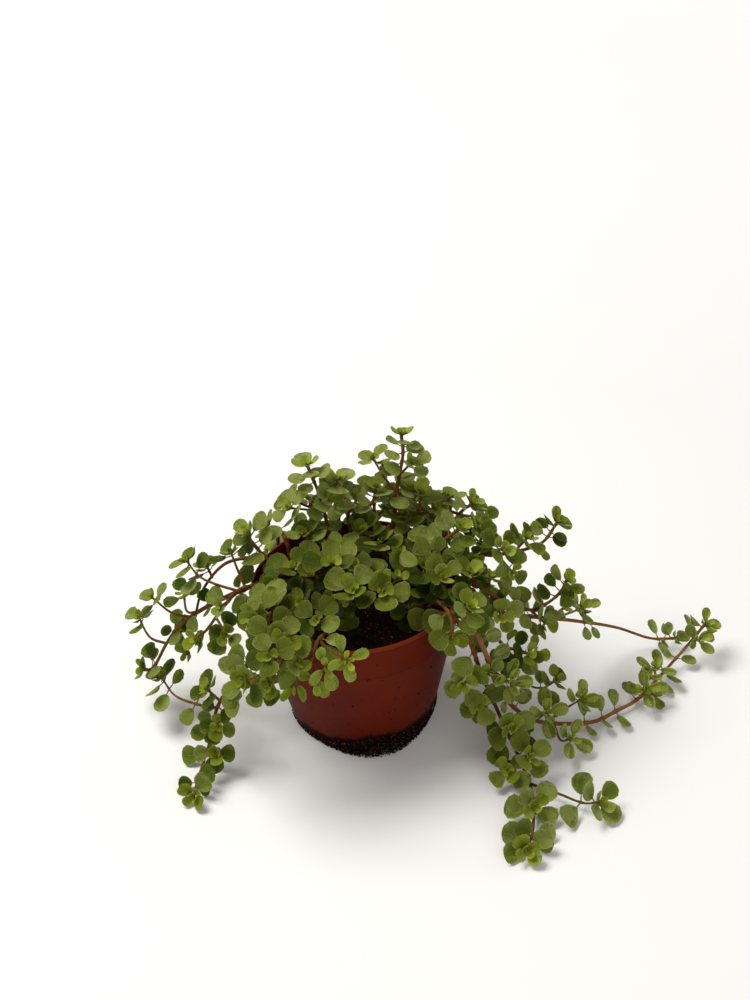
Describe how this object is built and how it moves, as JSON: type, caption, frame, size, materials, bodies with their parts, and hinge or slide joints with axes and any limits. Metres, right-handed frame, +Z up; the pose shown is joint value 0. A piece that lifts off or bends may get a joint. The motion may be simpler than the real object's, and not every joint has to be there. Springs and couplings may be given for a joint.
{
  "type": "potted plant",
  "caption": "Creeping foliage plant with small round paired leaves on thin reddish stems, trailing over the rim of a plain round nursery pot filled with compost.",
  "frame": {"origin": "centre of the pot's flat underside", "axes": "+Z up along the pot's axis, -Y towards the front of the plant, +X towards the longest trailing stems"},
  "size_m": [0.359, 0.2793, 0.1642],
  "materials": {
    "pot_plastic": "dark terracotta-brown moulded plastic, semi-gloss, with compost smears low down",
    "compost": "dark, damp, crumbly peat compost with pale specks, fully matt",
    "leaf": "mid-green leaves with a soft sheen, paler rims and yellow-green young tips",
    "stem": "reddish-brown smooth stems with paler leaf stalks"
  },
  "bodies": {
    "root": {"pot": "pot_plastic", "compost": "compost", "stem_left_upper": "leaf", "stem_left_far": "leaf", "stem_left_trail": "leaf", "stem_left_rosette": "leaf", "stem_front_left": "leaf", "stem_front_low": "leaf", "stem_front_cascade": "leaf", "stem_centre_left": "leaf", "stem_crown_left": "leaf", "stem_crown_mid": "leaf", "stem_crown_front": "leaf", "stem_crown_right": "leaf", "stem_soil_right": "leaf", "stem_crown_back": "leaf", "stem_back_left": "leaf", "stem_back_small": "leaf", "stem_back_tall_left": "leaf", "stem_back_tall_mid": "leaf", "stem_back_mid": "leaf", "stem_top_sprig": "leaf", "stem_back_right": "leaf", "stem_right_top": "leaf", "stem_right_high": "leaf", "stem_right_back": "leaf", "stem_right_arm": "leaf", "stem_right_thin": "leaf", "stem_right_trail": "leaf", "stem_right_run": "leaf", "stem_right_hang": "leaf", "stem_right_sprig": "leaf", "stem_right_crown": "leaf", "stem_rear_1": "leaf", "stem_rear_2": "leaf", "stem_rear_3": "leaf", "stem_rear_4": "leaf", "stem_rear_5": "leaf", "stem_rear_6": "leaf", "stem_rear_7": "leaf"}
  },
  "joints": []
}
